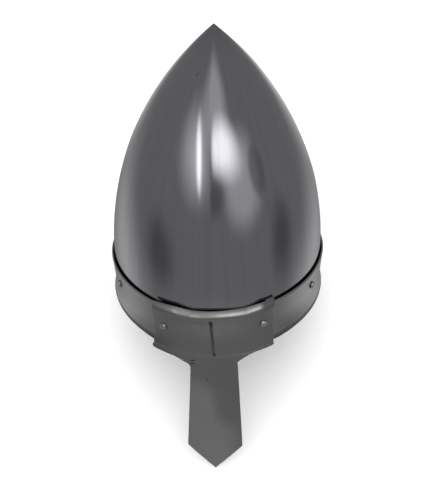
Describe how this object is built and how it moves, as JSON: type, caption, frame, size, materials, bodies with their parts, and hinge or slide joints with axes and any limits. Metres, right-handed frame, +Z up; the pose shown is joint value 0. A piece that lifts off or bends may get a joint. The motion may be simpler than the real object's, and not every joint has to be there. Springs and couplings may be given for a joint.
{
  "type": "conical nasal helmet",
  "caption": "Pointed steel helmet with a medial ridge, a riveted brow band with a flared lip, and a brow plate that runs down as a nose guard.",
  "frame": {"origin": "on the surface that the helmet rests on, under the middle of its outline", "axes": "+Z up as it rests on the nose guard's tip and the back of its rim, -Y towards the face, +X to the wearer's left"},
  "size_m": [0.2026, 0.317, 0.2678],
  "materials": {
    "bowl_steel": "dark steel, hand polished, with faint heat tint and fine scratches",
    "band_steel": "dark steel, satin",
    "plate_steel": "dark steel, satin, brighter on the rolled upper edge",
    "rivet_steel": "bright domed steel"
  },
  "bodies": {
    "root": {"bowl": "bowl_steel", "brow_band": "band_steel", "brow_and_nasal_plate": "plate_steel", "rivet_brow_left": "rivet_steel", "rivet_brow_right": "rivet_steel", "rivet_side_left": "rivet_steel", "rivet_side_right": "rivet_steel", "rivet_rear_left": "rivet_steel", "rivet_rear_right": "rivet_steel", "rivet_nape_left": "rivet_steel", "rivet_nape_right": "rivet_steel"}
  },
  "joints": []
}
